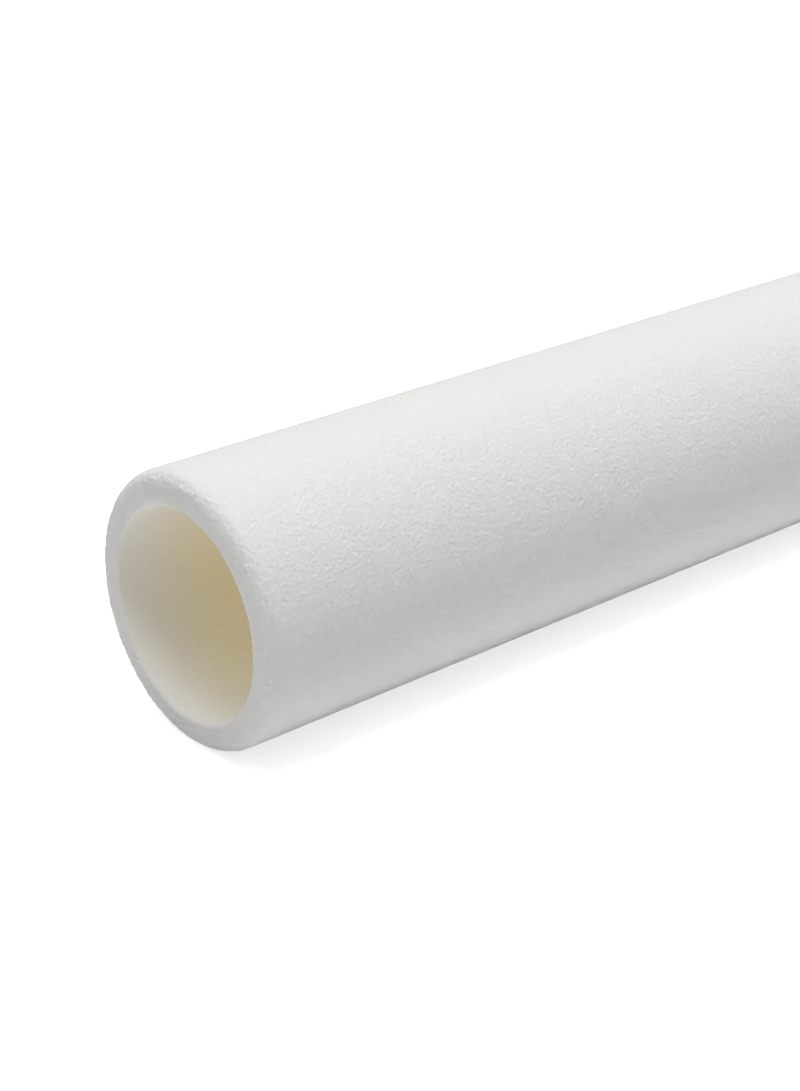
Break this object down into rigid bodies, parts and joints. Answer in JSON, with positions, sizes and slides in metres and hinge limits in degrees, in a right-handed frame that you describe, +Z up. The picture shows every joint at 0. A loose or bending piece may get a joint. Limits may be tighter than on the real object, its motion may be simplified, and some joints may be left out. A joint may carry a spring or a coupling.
{
  "type": "foam roller",
  "caption": "Hollow foam roller: a straight tube of white closed-cell foam, open from end to end, with full rounded rims and a soft granular skin.",
  "frame": {"origin": "on the surface the roller lies on, under the middle of its length", "axes": "+X along the bore axis, +Z up"},
  "size_m": [0.6, 0.15, 0.1499],
  "materials": {
    "foam": "soft matt white closed-cell foam with a fine granular moulded skin"
  },
  "bodies": {
    "root": {"foam_tube": "foam"}
  },
  "joints": []
}
